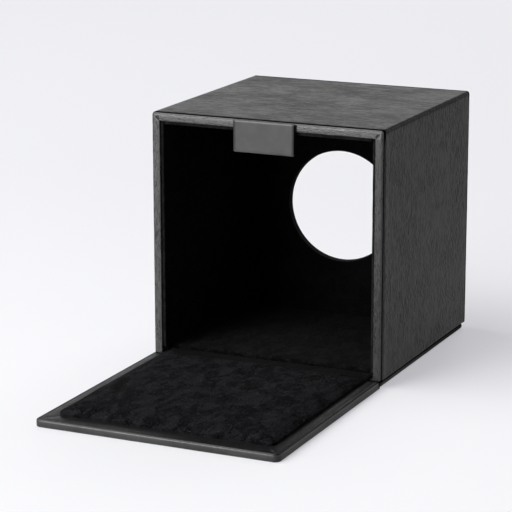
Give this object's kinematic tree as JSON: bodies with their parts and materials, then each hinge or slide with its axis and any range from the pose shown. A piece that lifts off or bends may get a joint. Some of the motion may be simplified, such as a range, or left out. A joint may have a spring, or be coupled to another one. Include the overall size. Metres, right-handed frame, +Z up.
{
  "type": "watch winder case",
  "caption": "Near-cubic leatherette-covered winder case with a velvet inside, a fold-down padded front flap, a closing tab and a round drive hole in its recessed back panel.",
  "frame": {"origin": "centre of the case's underside, on the table", "axes": "+X across the front to the right, +Y from the front to the back, +Z up"},
  "size_m": [0.12, 0.2354, 0.1235],
  "materials": {
    "leatherette": "charcoal leatherette, fine streaked grain, satin",
    "edge_leatherette": "charcoal leatherette pulled round the edges, satin",
    "grey_board": "raw pressed grey board",
    "papered_board": "grey board faced with black paper",
    "cleat_wood": "strips of black-stained board",
    "velvet": "black velvet on card",
    "hole_edging": "black edging strip",
    "hinge_cloth": "black velvet-faced cloth",
    "filler_paper": "black paper",
    "foam": "thin open-cell foam",
    "suede": "black suede-like pile",
    "tab_leather": "smooth mid-grey leather",
    "magnet_steel": "plated steel"
  },
  "bodies": {
    "case": {"base_wrap": "leatherette", "base_board": "grey_board", "floor_board": "papered_board", "left_board": "grey_board", "right_board": "grey_board", "top_board": "grey_board", "wrap_left": "leatherette", "wrap_right": "leatherette", "wrap_top": "leatherette", "band_front_left": "edge_leatherette", "band_front_right": "edge_leatherette", "band_front_top": "edge_leatherette", "band_rear_left": "edge_leatherette", "band_rear_right": "edge_leatherette", "band_rear_top": "edge_leatherette", "partition_board": "papered_board", "partition_lining": "velvet", "hole_edge": "hole_edging", "cleat_left": "cleat_wood", "cleat_right": "cleat_wood", "cleat_top": "cleat_wood", "lining_floor": "velvet", "lining_left": "velvet", "lining_right": "velvet", "lining_top": "velvet", "tab_anchor": "tab_leather", "hinge_strip": "hinge_cloth"},
    "flap": {"flap_board": "grey_board", "flap_wrap": "leatherette", "flap_filler": "filler_paper", "pad_board": "grey_board", "pad_foam": "foam", "pad_cover": "suede", "flap_disc": "magnet_steel"},
    "tab": {"tab_front": "tab_leather", "tab_back": "tab_leather", "tab_magnet": "magnet_steel"}
  },
  "joints": [
    {"name": "flap_hinge", "type": "hinge", "parent": "case", "child": "flap", "pos_m": [0, -0.0593, 0.0036], "axis": [-1, 0, 0], "range_deg": [0, 90], "deforming": ["hinge_strip"]},
    {"name": "tab_lift", "type": "hinge", "parent": "case", "child": "tab", "pos_m": [0, -0.06015, 0.1222], "axis": [-1, 0, 0], "range_deg": [0, 105]}
  ],
  "couplings": [
    {"joint": "tab_lift", "follows": "flap_hinge", "ratio": 1.15}
  ]
}
